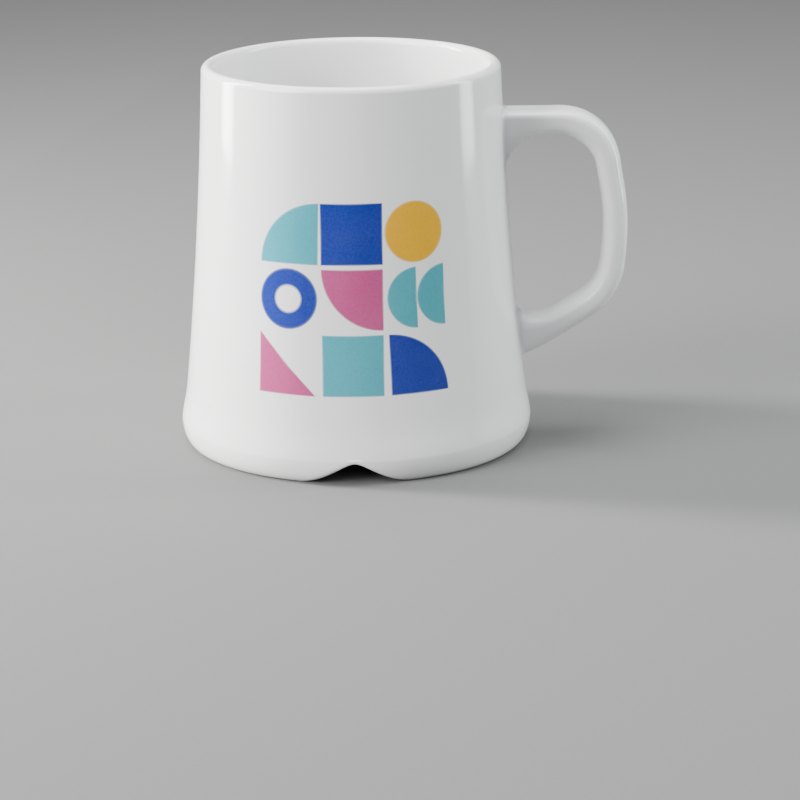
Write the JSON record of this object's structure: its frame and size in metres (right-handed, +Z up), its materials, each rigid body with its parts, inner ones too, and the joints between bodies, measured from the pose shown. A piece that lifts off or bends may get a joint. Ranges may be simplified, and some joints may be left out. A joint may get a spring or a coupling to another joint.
{
  "type": "ceramic mug",
  "caption": "White glazed ceramic mug with a flared wall, a rolled foot with a drain notch, a loop handle joined at two roots and a printed pattern of plain shapes.",
  "frame": {"origin": "on the cup's axis, in the plane of the foot ring that the mug stands on", "axes": "+Z up along the cup's axis, +X from the axis to the handle, -Y towards the printed front and the drain notch"},
  "size_m": [0.1179, 0.0924, 0.1],
  "materials": {
    "white_glaze": "gloss",
    "teal_ink": "gloss",
    "blue_ink": "gloss",
    "pink_ink": "gloss",
    "yellow_ink": "gloss"
  },
  "bodies": {
    "root": {"cup": "white_glaze", "handle": "white_glaze", "slip_joint_upper": "white_glaze", "slip_joint_lower": "white_glaze", "ink_teal": "teal_ink", "ink_blue": "blue_ink", "ink_pink": "pink_ink", "ink_yellow": "yellow_ink"}
  },
  "joints": []
}
